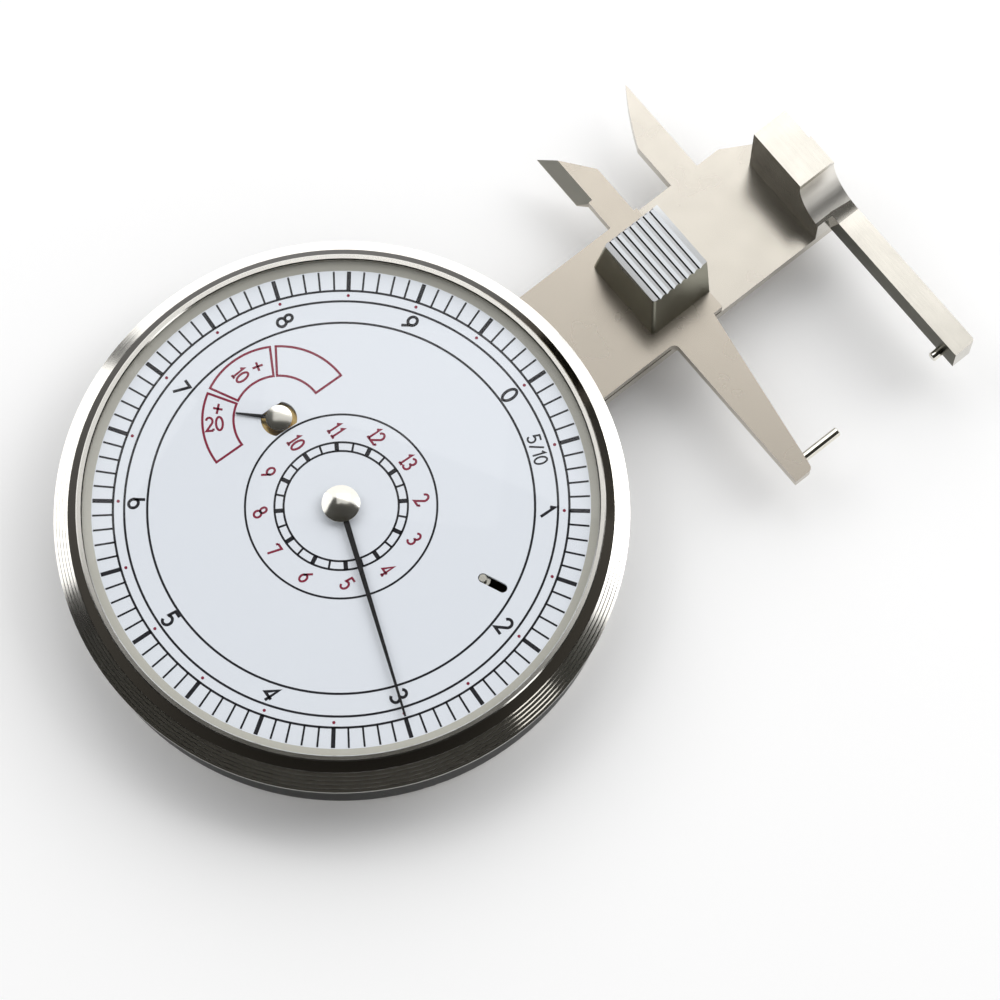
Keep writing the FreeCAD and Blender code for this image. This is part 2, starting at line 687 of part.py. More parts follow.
def beam_prong():
    """Lower prong, whose +X edge and whose tip measure inside a hole."""
    edge = FIXED_PRONG_EDGE
    back = edge - FIXED_PRONG_WIDTH
    tip_y = BEAM_HALF + FIXED_PRONG_REACH
    shoulder_y = BEAM_HALF + FIXED_PRONG_SHOULDER
    belly = (edge - FIXED_PRONG_BELLY_BACK, BEAM_HALF + FIXED_PRONG_BELLY_REACH)
    root_y = BEAM_HALF - 1
    shoulder = vector(back, shoulder_y)
    tip = vector(edge, tip_y)
    edges = [
        Part.LineSegment(vector(edge, root_y), tip).toShape(),
        Part.Arc(tip, vector(belly[0], belly[1]), shoulder).toShape(),
        Part.LineSegment(shoulder, vector(back, root_y)).toShape(),
        Part.LineSegment(vector(back, root_y), vector(edge, root_y)).toShape(),
    ]
    blade = slab_from_edges(edges, BEAM_BOTTOM, BEAM_TOP)
    depth = BEAM_THICKNESS - PRONG_EDGE_THICKNESS
    wedge = Part.makePolygon([
        vector(edge - PRONG_BEVEL, shoulder_y, BEAM_BOTTOM),
        vector(edge, shoulder_y, BEAM_BOTTOM),
        vector(edge, shoulder_y, BEAM_BOTTOM + depth),
        vector(edge - PRONG_BEVEL, shoulder_y, BEAM_BOTTOM),
    ])
    return blade.cut(Part.Face(wedge).extrude(vector(0, FIXED_PRONG_REACH, 0)))


def beam():
    flat = slab([
        (-BEAM_TAIL, -BEAM_HALF),
        (BEAM_END, -BEAM_HALF),
        (BEAM_END, BEAM_HALF - BEAM_END_CUT_DEPTH),
        (BEAM_END - BEAM_END_CUT_LENGTH, BEAM_HALF),
        (-BEAM_TAIL, BEAM_HALF),
    ], BEAM_BOTTOM, BEAM_TOP)
    flat = round_corners(flat, [(-BEAM_TAIL, -BEAM_HALF), (-BEAM_TAIL, BEAM_HALF)], BEAM_CORNER)
    blank = join([flat, beam_prong()])
    cuts = [disc(SMALL_SCREW_RADIUS, BEAM_BOTTOM, BEAM_TOP - BLIND_FLOOR, at) for at in beam_screw_places()]
    cuts += [small_screw_hole(at, BEAM_BOTTOM, BEAM_TOP) for at in fixed_jaw_screw_places()]
    cuts.append(disc(BUSH_RADIUS, BEAM_BOTTOM, BEAM_TOP))
    return blank.cut(cuts)


def beam_screws():
    return [small_screw(at, PLATE_BOTTOM, BEAM_TOP - BLIND_FLOOR) for at in beam_screw_places()]


def bridge_pillars():
    pillars = []
    for at in pillar_places():
        body = disc(PILLAR_RADIUS, BEAM_BOTTOM, BRIDGE_BOTTOM, at)
        foot = disc(POST_RADIUS, PLATE_FLOOR, BEAM_BOTTOM, at)
        thread = disc(SMALL_SCREW_RADIUS, BRIDGE_BOTTOM - PILLAR_THREAD_DEPTH, BRIDGE_BOTTOM, at)
        pillars.append(body.fuse(foot).cut(thread).removeSplitter())
    return pillars


def bridge():
    left, right, front = pillar_places()
    cross = bar(left, right, BRIDGE_ARM_WIDTH, BRIDGE_BOTTOM, BRIDGE_TOP)
    stem = bar((0.0, PILLAR_Y), front, BRIDGE_ARM_WIDTH, BRIDGE_BOTTOM, BRIDGE_TOP)
    cuts = [small_screw_hole(at, BRIDGE_TOP, BRIDGE_BOTTOM) for at in pillar_places()]
    cuts += [disc(BUSH_RADIUS, BRIDGE_BOTTOM, BRIDGE_TOP, at) for at in ((0.0, 0.0), COUNTER_AT)]
    return join([cross, stem]).cut(cuts)


def bridge_screws():
    return [small_screw(at, BRIDGE_TOP, BRIDGE_BOTTOM - PILLAR_THREAD_DEPTH) for at in pillar_places()]


def lower_bushes():
    bore = PIVOT_RADIUS + RUNNING_GAP
    centre = tube(BUSH_RADIUS, bore, BEAM_BOTTOM, BEAM_TOP)
    counter = tube(BUSH_RADIUS, bore, PLATE_FLOOR, BEAM_BOTTOM, COUNTER_AT)
    return [centre, counter]


def upper_bushes():
    bore = PIVOT_RADIUS + RUNNING_GAP
    return [tube(BUSH_RADIUS, bore, BRIDGE_BOTTOM, BRIDGE_TOP, at) for at in ((0.0, 0.0), COUNTER_AT)]


def guide(side):
    inner = side * (BEAM_HALF + SLIDING_GAP)
    outer = side * GUIDE_OUTER
    lip = side * (BEAM_HALF + SLIDING_GAP - GUIDE_LIP)
    lip_bottom = SLIDE_TOP + SLIDING_GAP
    top = lip_bottom + GUIDE_LIP_THICKNESS
    rail = box((GUIDE_START, min(inner, outer), BEAM_BOTTOM), (GUIDE_END, max(inner, outer), top))
    shelf = box((GUIDE_START, min(lip, outer), lip_bottom), (GUIDE_END, max(lip, outer), top))
    shape = join([rail, shelf])
    if side > 0:
        shape = shape.cut(spring_pocket())
    return shape


def spring_span():
    middle = (GUIDE_START + GUIDE_END) / 2
    return middle - SPRING_LENGTH / 2, middle + SPRING_LENGTH / 2


def spring_pocket():
    start, end = spring_span()
    inner = BEAM_HALF + SLIDING_GAP
    depth = SPRING_BOW + SPRING_THICKNESS
    return box((start - SPRING_END_GAP, inner, SLIDE_BOTTOM),
               (end + SPRING_END_GAP, inner + depth, SLIDE_TOP + SLIDING_GAP))


def slide_guides():
    """Two gibs that hold the edges of the slide plate down on the beam."""
    tip = PLATE_FLOOR
    top = SLIDE_TOP + SLIDING_GAP + GUIDE_LIP_THICKNESS
    holes = [small_screw_hole(at, top, tip) for at in guide_screw_places()]
    return [guide(-1).cut(holes), guide(1).cut(holes)]


def slide_guide_screws():
    tip = PLATE_FLOOR
    top = SLIDE_TOP + SLIDING_GAP + GUIDE_LIP_THICKNESS
    return [small_screw(at, top, tip) for at in guide_screw_places()]


def friction_spring():
    """Bowed strip in the +Y guide that rubs on the slide plate's edge."""
    start, end = spring_span()
    middle = (start + end) / 2
    near = SLIDE_HALF + RUNNING_GAP
    far = BEAM_HALF + SLIDING_GAP + SPRING_BOW
    rub, heel = vector(middle, near), vector(start, far)
    other = vector(end, far)
    lift = vector(0, SPRING_THICKNESS)
    edges = [
        Part.Arc(heel, rub, other).toShape(),
        Part.LineSegment(other, other + lift).toShape(),
        Part.Arc(other + lift, rub + lift, heel + lift).toShape(),
        Part.LineSegment(heel + lift, heel).toShape(),
    ]
    return slab_from_edges(edges, SLIDE_BOTTOM, SLIDE_TOP)


# Slide and its jaws

def block_screw_places():
    middle = JAW_FACE - BLOCK_FOOT_LENGTH / 2
    return [(middle - BLOCK_SCREW_SPACING / 2, 0.0), (middle + BLOCK_SCREW_SPACING / 2, 0.0)]


def rack_teeth_range():
    first = -math.ceil((CLOSING_TRAVEL + RACK_RUN_OUT) / RACK_PITCH)
    last = math.ceil((OPENING_TRAVEL + RACK_RUN_OUT) / RACK_PITCH)
    return first, last


def rack_screw_places():
    first, last = rack_teeth_range()
    y = -RACK_PINION_RADIUS - RACK_WIDTH + RACK_SCREW_INSET
    start = first * RACK_PITCH + RACK_SCREW_END
    end = last * RACK_PITCH - RACK_SCREW_END
    return [(start, y), ((start + end) / 2, y), (end, y)]


def slide_outline():
    low = -SLIDE_HALF
    high = SLIDE_HALF
    neck_y = high + SLIDE_PRONG_NECK_REACH
    edge_y = neck_y + SLIDE_PRONG_NECK_STEP
    prong_edge = JAW_FACE - SLIDE_PRONG_EDGE
    prong_front = JAW_FACE - SLIDE_PRONG_ROOT_FRONT
    prong_back = JAW_FACE - SLIDE_PRONG_ROOT_BACK
    return [
        (-SLIDE_TAIL, low),
        (JAW_FACE - ARM_ROOT_BACK, low),
        (JAW_FACE - ARM_TIP_BACK, low - ARM_REACH),
        (JAW_FACE - ARM_TIP_FRONT, low - ARM_REACH),
        (JAW_FACE - ARM_ROOT_FRONT, low),
        (JAW_FACE, low),
        (JAW_FACE, high),
        (prong_front, high),
        (prong_front, high + SLIDE_PRONG_SHOULDER),
        (prong_edge, high + SLIDE_PRONG_REACH),
        (prong_edge, edge_y),
        (prong_back, neck_y),
        (prong_back, high),
        (-SLIDE_TAIL, high),
    ]


def prong_bevel():
    """Wedge that thins the slide's prong to a knife along its -X edge."""
    start = SLIDE_HALF + SLIDE_PRONG_NECK_REACH
    low = SLIDE_BOTTOM + PRONG_EDGE_THICKNESS
    edge = JAW_FACE - SLIDE_PRONG_EDGE
    wedge = Part.makePolygon([
        vector(edge + PRONG_BEVEL, start, SLIDE_TOP),
        vector(edge, start, SLIDE_TOP),
        vector(edge, start, low),
        vector(edge + PRONG_BEVEL, start, SLIDE_TOP),
    ])
    return Part.Face(wedge).extrude(vector(0, SLIDE_PRONG_REACH, 0))


def slide_plate():
    plate = slab(slide_outline(), SLIDE_BOTTOM, SLIDE_TOP)
    low = -SLIDE_HALF
    plate = round_corners(plate, [(JAW_FACE - ARM_ROOT_BACK, low)], ARM_ROOT_FILLET)
    plate = round_corners(plate, [(JAW_FACE - ARM_TIP_FRONT, low - ARM_REACH)], ARM_CORNER)
    width = 2 * (CENTRE_ARBOR_RADIUS + WINDOW_GAP)
    window = bar((-CLOSING_TRAVEL, 0.0), (OPENING_TRAVEL, 0.0), width, SLIDE_BOTTOM, SLIDE_TOP)
    cuts = [window, prong_bevel()]
    cuts += [small_screw_hole(at, SLIDE_BOTTOM, SLIDE_TOP) for at in block_screw_places()]
    floor = SLIDE_BOTTOM + BLIND_FLOOR
    cuts += [disc(SMALL_SCREW_RADIUS, floor, SLIDE_TOP, at) for at in rack_screw_places()]
    cuts.append(rod_x(PIN_RADIUS, slide_pin_start(), JAW_FACE, PIN_Y, SLIDE_MIDDLE))
    return plate.cut(cuts)


def slide_pin_start():
    """Bottom of the pin's socket, measured back from the slanting edge of the arm."""
    share = (-SLIDE_HALF - PIN_Y) / ARM_REACH
    back = ARM_ROOT_FRONT + (ARM_TIP_FRONT - ARM_ROOT_FRONT) * share
    return JAW_FACE - back - PIN_SOCKET_DEPTH


def slide_pin():
    end = JAW_FACE + PIN_PAST_FACE
    pin = rod_x(PIN_RADIUS, slide_pin_start(), end, PIN_Y, SLIDE_MIDDLE)
    rim = [edge for edge in pin.Edges if abs(edge.BoundBox.XMin - end) < 1e-6 and len(edge.Vertexes) == 1]
    return pin.makeChamfer(PIN_RADIUS / 5, rim)


def rack():
    first, last = rack_teeth_range()
    pitch_y = -RACK_PINION_RADIUS
    tip_y = pitch_y + RACK_ADDENDUM * RACK_MODULE
    root_y = pitch_y - DEDENDUM * RACK_MODULE
    back_y = pitch_y - RACK_WIDTH
    lean = math.tan(math.radians(PRESSURE_ANGLE))
    half = RACK_PITCH / 4 - TOOTH_PLAY
    outline = [(first * RACK_PITCH, back_y), (last * RACK_PITCH, back_y), (last * RACK_PITCH, root_y)]
    for number in range(last - 1, first - 1, -1):
        middle = (number + 0.5) * RACK_PITCH
        wide = half + (pitch_y - root_y) * lean
        narrow = half - (tip_y - pitch_y) * lean
        outline += [
            (middle + wide, root_y),
            (middle + narrow, tip_y),
            (middle - narrow, tip_y),
            (middle - wide, root_y),
        ]
    outline.append((first * RACK_PITCH, root_y))
    holes = [small_screw_hole(at, RACK_TOP, SLIDE_TOP) for at in rack_screw_places()]
    return slab(outline, SLIDE_TOP, RACK_TOP).cut(holes)


def rack_screws():
    return [small_screw(at, RACK_TOP, SLIDE_BOTTOM + BLIND_FLOOR) for at in rack_screw_places()]


def block_section(length, width, z):
    """Level rectangle behind the measuring face."""
    back, half = JAW_FACE - length, width / 2
    plan = [(back, -half), (JAW_FACE, -half), (JAW_FACE, half), (back, half), (back, -half)]
    return Part.makePolygon([vector(x, y, z) for x, y in plan])


def thumb_block():
    foot = block_section(BLOCK_FOOT_LENGTH, BLOCK_FOOT_WIDTH, SLIDE_TOP)
    top = block_section(BLOCK_TOP_LENGTH, BLOCK_TOP_WIDTH, JAW_TOP)
    block = Part.makeLoft([foot, top], True, True)
    corner_edges = []
    for edge in block.Edges:
        limits = edge.BoundBox
        rises = limits.ZMax - limits.ZMin > JAW_TOP_HEIGHT / 2
        if rises and limits.XMax < JAW_FACE - BLOCK_EDGE_ROUND:
            corner_edges.append(edge)
    block = block.makeFillet(BLOCK_EDGE_ROUND, corner_edges)
    pitch = BLOCK_TOP_LENGTH / BLOCK_RIDGES
    half = BLOCK_GROOVE_WIDTH / 2
    grooves = []
    for number in range(1, BLOCK_RIDGES):
        middle = JAW_FACE - BLOCK_TOP_LENGTH + number * pitch
        section = [(middle - half, JAW_TOP), (middle + half, JAW_TOP), (middle, JAW_TOP - BLOCK_GROOVE_DEPTH)]
        corners = [vector(x, -BLOCK_FOOT_WIDTH, z) for x, z in section]
        groove = Part.Face(Part.makePolygon(corners + [corners[0]]))
        grooves.append(groove.extrude(vector(0, 2 * BLOCK_FOOT_WIDTH, 0)))
    high = SLIDE_TOP + THREAD_DEPTH
    threads = [disc(SMALL_SCREW_RADIUS, SLIDE_TOP, high, at) for at in block_screw_places()]
    return block.cut(grooves + threads)


def thumb_block_screws():
    return [small_screw(at, SLIDE_BOTTOM, SLIDE_TOP + THREAD_DEPTH) for at in block_screw_places()]


def fixed_jaw_screw_places():
    middle = (FIXED_FACE + BEAM_END) / 2
    centre = (FIXED_BLOCK_WIDTH / 2 - BEAM_HALF) / 2
    half = FIXED_SCREW_SPACING / 2
    return [(middle, centre - half), (middle, centre + half)]


def fixed_jaw():
    half = FIXED_BLOCK_WIDTH / 2
    arc_top = JAW_TOP - FIXED_BLOCK_STRAIGHT
    run = NECK_RADIUS
    centre_y = -half - run
    tall = arc_top - FIXED_ARM_TOP

    def hollow(angle):
        """Point on the hollow, from 0 at the block to 90 degrees at the arm."""
        turn = math.radians(angle)
        return vector(0, centre_y + run * math.cos(turn), arc_top - tall * math.sin(turn))

    cut_angle = math.degrees(math.acos((-BEAM_HALF - centre_y) / run))
    def prism(arc_end, outline, start_x, length):
        """Side view with the hollow down to an angle, pulled out along X."""
        arc = Part.Arc(hollow(0), hollow(arc_end / 2), hollow(arc_end)).toShape()
        corners = [hollow(arc_end)] + [vector(0, y, z) for y, z in outline] + [hollow(0)]
        edges = [arc] + [Part.LineSegment(a, b).toShape() for a, b in zip(corners, corners[1:])]
        face = Part.Face(Part.Wire(edges))
        face.translate(vector(start_x, 0, 0))
        return face.extrude(vector(length, 0, 0))

    block_outline = [(-BEAM_HALF, BEAM_TOP), (half, BEAM_TOP), (half, JAW_TOP), (-half, JAW_TOP)]
    block = prism(cut_angle, block_outline, FIXED_FACE, FIXED_BLOCK_LENGTH)
    tip_y = -BEAM_HALF - FIXED_ARM_REACH
    arm_outline = [(tip_y, FIXED_ARM_TOP), (tip_y, BEAM_TOP), (0, BEAM_TOP), (0, arc_top)]
    arm = prism(90, arm_outline, FIXED_ARM_FACE, FIXED_ARM_WIDTH)
    arm = round_corners(arm, [(FIXED_ARM_FACE + FIXED_ARM_WIDTH, tip_y)], FIXED_ARM_CORNER)
    high = BEAM_TOP + THREAD_DEPTH
    cuts = [disc(SMALL_SCREW_RADIUS, BEAM_TOP, high, at) for at in fixed_jaw_screw_places()]
    socket_end = FIXED_ARM_FACE + PIN_SOCKET_DEPTH
    cuts.append(rod_x(PIN_RADIUS, FIXED_ARM_FACE - 1, socket_end, PIN_Y, SLIDE_MIDDLE))
    return join([block, arm]).cut(cuts)


def fixed_jaw_screws():
    return [small_screw(at, BEAM_BOTTOM, BEAM_TOP + THREAD_DEPTH) for at in fixed_jaw_screw_places()]


def fixed_pin():
    start = FIXED_FACE + PIN_PAST_FACE
    pin = rod_x(PIN_RADIUS, start, FIXED_ARM_FACE + PIN_SOCKET_DEPTH, PIN_Y, SLIDE_MIDDLE)
    rim = [edge for edge in pin.Edges if abs(edge.BoundBox.XMax - start) < 1e-6 and len(edge.Vertexes) == 1]
    return pin.makeChamfer(PIN_RADIUS / 5, rim)


# Train and hands

def pinion_bottom():
    return SLIDE_TOP + END_FLOAT


def centre_arbor():
    """Stepped shaft from the bush in the beam to the main hand."""
    wide = CENTRE_ARBOR_RADIUS
    return turned([
        (0, BEAM_BOTTOM + END_FLOAT),
        (PIVOT_RADIUS, BEAM_BOTTOM + END_FLOAT),
        (PIVOT_RADIUS, BEAM_TOP + END_FLOAT),
        (wide, BEAM_TOP + END_FLOAT),
        (wide, BRIDGE_BOTTOM - END_FLOAT),
        (PIVOT_RADIUS, BRIDGE_BOTTOM - END_FLOAT),
        (PIVOT_RADIUS, main_hand_bottom() + HAND_THICKNESS),
        (0, main_hand_bottom() + HAND_THICKNESS),
    ])


def rack_pinion():
    low, high = pinion_bottom(), RACK_TOP - SLIDING_GAP
    wheel = gear(RACK_PINION_TEETH, RACK_MODULE, PINION_ADDENDUM, low, high, (0.0, 0.0), -90.0)
    return wheel.cut(disc(CENTRE_ARBOR_RADIUS, low, high))


def counter_pinion():
    bottom = WHEEL_BOTTOM - SLIDING_GAP
    top = WHEEL_TOP + SLIDING_GAP
    facing = COUNTER_DIRECTION
    wheel = gear(COUNTER_PINION_TEETH, COUNTER_MODULE, PINION_ADDENDUM, bottom, top, (0.0, 0.0), facing)
    return wheel.cut(disc(CENTRE_ARBOR_RADIUS, bottom, top))


def counter_wheel():
    half_step = 180.0 / COUNTER_WHEEL_TEETH
    towards = COUNTER_DIRECTION + 180.0 + half_step
    low, high = WHEEL_BOTTOM, WHEEL_TOP
    toothed = gear(COUNTER_WHEEL_TEETH, COUNTER_MODULE, WHEEL_ADDENDUM, low, high, COUNTER_AT, towards)
    rim_inner = COUNTER_WHEEL_TEETH * COUNTER_MODULE / 2 - WHEEL_RIM
    gap = tube(rim_inner, WHEEL_HUB, low, high, COUNTER_AT)
    for number in range(WHEEL_SPOKES):
        end = around(rim_inner + WHEEL_RIM / 2, 360.0 * number / WHEEL_SPOKES, COUNTER_AT)
        gap = gap.cut(bar(COUNTER_AT, end, WHEEL_SPOKE_WIDTH, low, high))
    return toothed.cut([gap, disc(COUNTER_ARBOR_RADIUS, low, high, COUNTER_AT)])


def counter_arbor():
    """Stepped shaft from the bush in the movement plate to the counter hand."""
    wide = COUNTER_ARBOR_RADIUS
    low = PLATE_FLOOR + END_FLOAT
    top = counter_hand_bottom() + HAND_THICKNESS
    return turned([
        (0, low),
        (PIVOT_RADIUS, low),
        (PIVOT_RADIUS, BEAM_BOTTOM + END_FLOAT),
        (wide, BEAM_BOTTOM + END_FLOAT),
        (wide, BRIDGE_BOTTOM - END_FLOAT),
        (PIVOT_RADIUS, BRIDGE_BOTTOM - END_FLOAT),
        (PIVOT_RADIUS, top),
        (0, top),
    ], COUNTER_AT)


def hairspring_level():
    return (BEAM_BOTTOM + WHEEL_BOTTOM) / 2


def hairspring_collet():
    low = hairspring_level()
    high = low + HAIRSPRING_HEIGHT
    return tube(COLLET_RADIUS, COUNTER_ARBOR_RADIUS, low - COLLET_LIP, high + COLLET_LIP, COUNTER_AT)


def hairspring():
    """Flat spiral of half circles from the collet out to the stud."""
    outer = HAIRSPRING_RADIUS
    half_turns = 2 * HAIRSPRING_TURNS
    grow = (outer - COLLET_RADIUS - HAIRSPRING_THICKNESS) / half_turns
    direction = around(1.0, STUD_ANGLE)
    normal = around(1.0, STUD_ANGLE - 90.0)

    def spot(along, across):
        x = COUNTER_AT[0] + direction[0] * along + normal[0] * across
        y = COUNTER_AT[1] + direction[1] * along + normal[1] * across
        return vector(x, y)

    def spiral(first_radius):
        """Half circles about two centres, each as much wider as the spiral grows."""
        edges = []
        end = -first_radius
        way = 1.0
        for number in range(half_turns):
            start = end
            span = 2 * first_radius + grow * (number + 0.5)
            end = start + span if number % 2 == 0 else start - span
            middle = (start + end) / 2
            radius = abs(end - start) / 2
            edges.append(Part.Arc(spot(start, 0), spot(middle, way * radius), spot(end, 0)).toShape())
            way = -way
        return edges, spot(-first_radius, 0), spot(end, 0)

    inner_edges, inner_start, inner_end = spiral(COLLET_RADIUS)
    outer_edges, outer_start, outer_end = spiral(COLLET_RADIUS + HAIRSPRING_THICKNESS)
    edges = inner_edges + [Part.LineSegment(inner_end, outer_end).toShape()]
    edges += list(reversed(outer_edges)) + [Part.LineSegment(outer_start, inner_start).toShape()]
    low = hairspring_level()
    return slab_from_edges(Part.__sortEdges__(edges), low, low + HAIRSPRING_HEIGHT)


def hairspring_stud():
    at = stud_place()
    post = disc(STUD_RADIUS, BEAM_BOTTOM, hairspring_level() + HAIRSPRING_HEIGHT + COLLET_LIP, at)
    return post.fuse(disc(POST_RADIUS, PLATE_FLOOR, BEAM_BOTTOM, at)).removeSplitter()


def counter_hand_bottom():
    return DIAL_TOP + COUNTER_HAND_ABOVE_DIAL


def main_hand_bottom():
    return DIAL_TOP + MAIN_HAND_ABOVE_DIAL


def pointer(centre, angle, reach, width, tip_width, eye_radius, bottom):
    """Tapering hand with a round eye on its arbor."""
    top = bottom + HAND_THICKNESS
    side = angle + 90.0
    root_a = around(width / 2, side, centre)
    root_b = around(-width / 2, side, centre)
    end = around(reach, angle, centre)
    end_a = around(tip_width / 2, side, end)
    end_b = around(-tip_width / 2, side, end)
    blade = slab([root_a, root_b, end_b, end_a], bottom, top)
    eye = disc(eye_radius, bottom, top, centre)
    return join([blade, eye]).cut(disc(PIVOT_RADIUS, bottom, top, centre))


def main_hand():
    return pointer((0.0, 0.0), dial_angle(MAIN_HAND_ANGLE), MAIN_HAND_REACH, MAIN_HAND_WIDTH,
                   MAIN_HAND_TIP_WIDTH, MAIN_HAND_EYE_RADIUS, main_hand_bottom())


def counter_hand():
    return pointer(COUNTER_AT, dial_angle(COUNTER_HAND_ANGLE), COUNTER_HAND_REACH, COUNTER_HAND_WIDTH,
                   COUNTER_HAND_TIP_WIDTH, COUNTER_HAND_EYE_RADIUS, counter_hand_bottom())


def domed_cap(radius, rise, bottom, centre):
    """Low round cap over a hand, with a short cylindrical edge under a ball-shaped crown."""
    top = bottom + rise
    crown = rise * (1 - HUB_EDGE_SHARE)
    ball_radius = (radius ** 2 + crown ** 2) / (2 * crown)
    ball = Part.makeSphere(ball_radius, vector(centre[0], centre[1], top - ball_radius))
    return disc(radius, bottom, top, centre).common(ball)


def main_hub():
    return domed_cap(MAIN_HUB_RADIUS, MAIN_HUB_DOME, main_hand_bottom() + HAND_THICKNESS, (0.0, 0.0))


def counter_hub():
    return domed_cap(COUNTER_HUB_RADIUS, COUNTER_HUB_DOME, counter_hand_bottom() + HAND_THICKNESS, COUNTER_AT)


NODES = [
    case_body, back_cover, back_cover_screws, bezel, bezel_snap_ring, crystal, dial_ring, dial_plate,
    dial_locating_pin, movement_plate, beam, beam_screws, bridge_pillars, bridge, bridge_screws,
    lower_bushes, upper_bushes, slide_guides, slide_guide_screws, friction_spring,
    slide_plate, slide_pin, rack, rack_screws, thumb_block, thumb_block_screws,
    fixed_jaw, fixed_jaw_screws, fixed_pin,
    centre_arbor, rack_pinion, counter_pinion, counter_wheel, counter_arbor,
    hairspring_collet, hairspring, hairspring_stud,
    main_hand, main_hub, counter_hand, counter_hub,
]


def write_parts():
    os.makedirs("parts", exist_ok=True)
    for make in NODES:
        shape = make()
        if isinstance(shape, list):
            shape = Part.makeCompound(shape)
        if not shape.isValid():
            print("not valid:", make.__name__)
        shape.exportStep("parts/" + make.__name__ + ".step")
        print(make.__name__, "solids", len(shape.Solids), "volume %.3f" % shape.Volume)


write_parts()
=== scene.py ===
"""Looks, dial print, light and camera for the gemstone lever gauge."""

import json
import math

import bpy
from mathutils import Matrix, Vector


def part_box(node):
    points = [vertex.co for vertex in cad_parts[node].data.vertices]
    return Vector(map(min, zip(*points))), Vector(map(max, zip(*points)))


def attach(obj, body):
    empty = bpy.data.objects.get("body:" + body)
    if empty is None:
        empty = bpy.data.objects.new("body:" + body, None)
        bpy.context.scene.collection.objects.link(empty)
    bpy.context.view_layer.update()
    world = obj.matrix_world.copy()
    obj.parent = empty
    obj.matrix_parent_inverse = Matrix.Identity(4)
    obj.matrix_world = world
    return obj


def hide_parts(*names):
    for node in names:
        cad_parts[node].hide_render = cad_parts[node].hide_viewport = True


MM = 0.001

# Photograph's view
CAMERA_AZIMUTH = -38.96
CAMERA_ELEVATION = 73.0
CAMERA_DISTANCE = 450 * MM
CAMERA_LENS = 156.2
CAMERA_TARGET = (13.22 * MM, -9.83 * MM, 10.0 * MM)

# Studio, in metres
ROOM_RADIUS = 1.3
ROOM_HEIGHT = 1.4
ROOM_SIDES = 24
AMBIENT = 0.52

# Soft boxes: place across and up the picture and height, then width and height in metres, and watts
SOFT_BOXES = {
    "key_box": ((0.22, 0.60, 0.60), (1.9, 0.8), 7.2),
    "top_box": ((0.02, 0.42, 0.90), (0.40, 0.36), 0.37),
    "left_box": ((-0.60, 0.32, 0.66), (0.55, 0.6), 1.7),
    "right_box": ((0.66, 0.26, 0.62), (0.5, 0.6), 1.6),
    "neck_box": ((0.78, -0.58, 0.22), (0.22, 0.30), 0.3),
}

# Dark bevel of the bezel, in millimetres from the dial's centre
BEVEL_INNER = 27.5
BEVEL_OUTER = 28.32

# Depth of the thumb block's ribs and where the fixed arm starts, in millimetres
RIB_DEPTH = 0.5
FIXED_ARM_START = -8.0

# Main scale, in millimetres from the dial's centre
DIAL_TURN = -4.2
PRINT_LIFT = 0.012
TICK_OUTER = 25.81
TICK_INNER = 23.66
TICK_WIDTH = 0.21
LONG_TICK_WIDTH = 0.44
DOT_CIRCLE = 23.13
DOT_RADIUS = 0.17
RING_LINES = (23.66, 22.49, 20.10)
RING_LINE_WIDTH = 0.24
NUMBER_CIRCLE = 21.25
NUMBER_HEIGHT = 1.75
NUMBER_STROKE = 0.31
FRACTION_HEIGHT = 1.35
FRACTION_STROKE = 0.20

# Small scale round the centre, sizes 2 to 13 on twelve even steps
SIZE_LINE = 9.97
SIZE_BAND_OUTER = 6.92
SIZE_BAND_INNER = 5.97
SIZE_LINE_WIDTH = 0.22
SIZE_TICK_WIDTH = 0.46
SIZE_HALF_TICK_WIDTH = 0.22
SIZE_STEP = 10 / 12
SIZE_NUMBER_CIRCLE = 8.40
SIZE_NUMBER_HEIGHT = 1.5
SIZE_NUMBER_STROKE = 0.24

# Sectors of the counter hand: start and end angles, then marks with their radius and angle
SECTOR_INNER = 4.75
SECTOR_OUTER = 8.0
SECTOR_LINE_WIDTH = 0.25
SECTOR_STEPS = 24
SECTOR_ANGLES = ((2.0, 58.6), (63.0, 120.4), (124.7, 181.7))
SECTOR_NUMBER_HEIGHT = 1.45
SECTOR_PLUS_HEIGHT = 2.03
SECTOR_MARKS = (("10", 6.35, 95.6), ("+", 6.28, 76.3), ("20", 6.75, 150.0), ("+", 6.57, 134.6))

# Slot that the paper leaves of the counter arbor's hole
HOLE_RADIUS = 1.95
SLOT_HALF_WIDTH = 1.42

# Counter hand
HAND_REACH = 4.55
HAND_ROOT = 0.42
HAND_TIP = 0.16
HAND_EYE = 0.9
HAND_DIRECTION = 138.0
HAND_EYE_STEPS = 32


def polar(radius, degrees):
    angle = math.radians(degrees)
    return Vector((radius * math.cos(angle), radius * math.sin(angle)))


def dial_direction(reading):
    """Angle on the dial, in degrees from the 0 mark, for a reading from 0 to 10."""
    return -36.0 * reading


def counter_pivot(frame):
    """Point on the counter hand's axis, in metres."""
    return Vector(next(j["pos_m"] for j in frame["joints"] if j["name"] == "counter_pointer_turn"))


def counter_centre(frame):
    """Counter hand's pivot, in millimetres, before the dial's turn."""
    pivot = counter_pivot(frame) / MM
    return polar(math.hypot(pivot.x, pivot.y), 90)


# Flat print pieces

